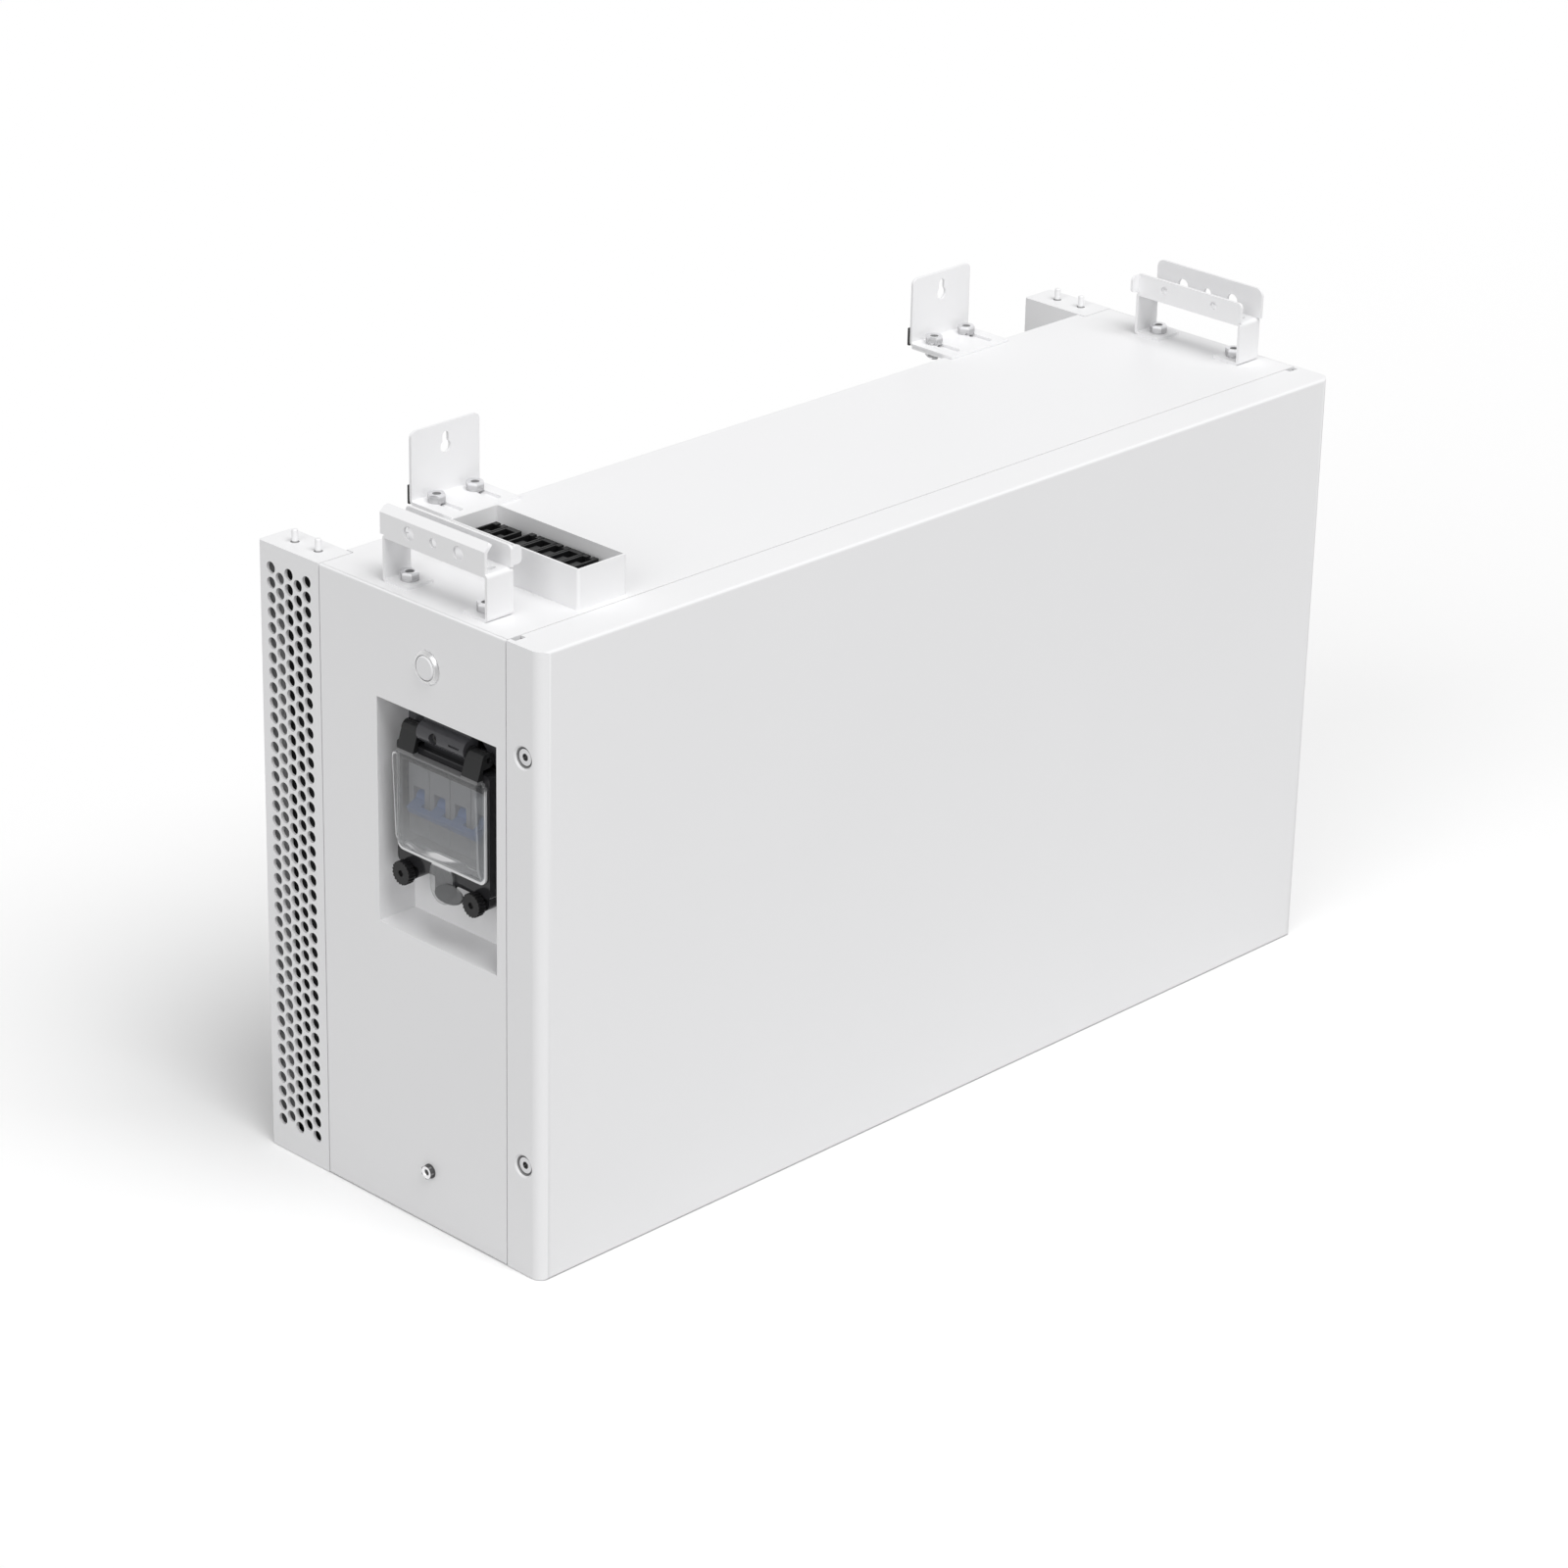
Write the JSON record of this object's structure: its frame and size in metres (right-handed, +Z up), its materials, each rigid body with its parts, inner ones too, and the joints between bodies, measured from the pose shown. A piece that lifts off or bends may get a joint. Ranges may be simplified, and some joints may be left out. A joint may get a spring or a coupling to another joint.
{
  "type": "wall-mounted battery module",
  "caption": "White sheet-steel battery module with perforated side channels, wall and handle brackets, a terminal box, a push button and a recessed breaker behind a hinged clear window.",
  "frame": {"origin": "centre of the underside, on the floor", "axes": "+X along the length from the breaker end to the plain end, +Y from the smooth cover towards the wall, +Z up"},
  "size_m": [0.7034, 0.244, 0.4488],
  "materials": {
    "powder_coat": "fine satin powder coat",
    "zinc_steel": "bright zinc plate",
    "bezel_metal": "satin stainless",
    "cap_plastic": "smooth satin",
    "black_plastic": "fine moulded texture",
    "smoke_plastic": "glossy smoke",
    "clear_plastic": "clear and polished",
    "breaker_grey": "matte moulded",
    "toggle_blue": "smooth moulded",
    "rubber_pad": "matte rubber",
    "filter_foam": "open foam",
    "cell_wrap": "film wrap",
    "plain_aluminium": "mill finish",
    "copper": "bare copper",
    "insulator": "fibre sheet",
    "board_green": "lacquered board"
  },
  "bodies": {
    "case": {"front_cover": "powder_coat", "chassis": "powder_coat", "breaker_end_panel": "powder_coat", "plain_end_panel": "powder_coat", "breaker_recess_tub": "powder_coat", "vent_channel_left": "powder_coat", "vent_channel_right": "powder_coat", "vent_filter_left": "filter_foam", "vent_filter_right": "filter_foam", "channel_rivets": "zinc_steel", "locating_pins": "powder_coat", "wall_bracket_left": "powder_coat", "wall_bracket_right": "powder_coat", "wall_pads": "rubber_pad", "wall_bracket_bolts": "zinc_steel", "handle_bracket_left": "powder_coat", "handle_bracket_right": "powder_coat", "handle_bolts": "zinc_steel", "spring_washers": "zinc_steel", "bracket_nuts": "zinc_steel", "cover_screws": "zinc_steel", "cover_nuts": "zinc_steel", "ground_screw": "zinc_steel", "terminal_box": "powder_coat", "connector_base": "black_plastic", "connector_row": "black_plastic", "button_bezel": "bezel_metal", "button_switch": "black_plastic", "button_nut": "zinc_steel", "breaker_frame": "smoke_plastic", "frame_screw": "zinc_steel", "window_hinge_pins": "zinc_steel", "window_latch": "black_plastic", "thumb_screws": "black_plastic", "breaker_body": "breaker_grey", "toggle_pivot_pin": "zinc_steel", "din_rail": "zinc_steel", "din_rail_brackets": "zinc_steel", "battery_cells": "cell_wrap", "cell_pads": "rubber_pad", "cell_end_plates": "plain_aluminium", "pack_tie_rods": "zinc_steel", "cell_busbars": "copper", "busbar_cover": "insulator", "pack_tray": "plain_aluminium", "management_plate": "zinc_steel", "management_board": "board_green", "board_standoffs": "zinc_steel", "positive_link": "copper", "negative_link": "copper", "output_links": "copper"},
    "button": {"button_cap": "cap_plastic"},
    "window": {"breaker_window": "clear_plastic"},
    "toggle": {"breaker_toggle": "toggle_blue"}
  },
  "joints": [
    {"name": "button_press", "type": "slide", "parent": "case", "child": "button", "axis": [1, 0, 0], "range_m": [0, 0.0015], "stiffness_N_per_m": 600, "springref_m": -0.002},
    {"name": "window_swing", "type": "hinge", "parent": "case", "child": "window", "pos_m": [-0.338, -0.03, 0.314], "axis": [0, 1, 0], "range_deg": [0, 100]},
    {"name": "toggle_throw", "type": "hinge", "parent": "case", "child": "toggle", "pos_m": [-0.33, -0.03, 0.2685], "axis": [0, 1, 0], "range_deg": [0, 50]}
  ]
}
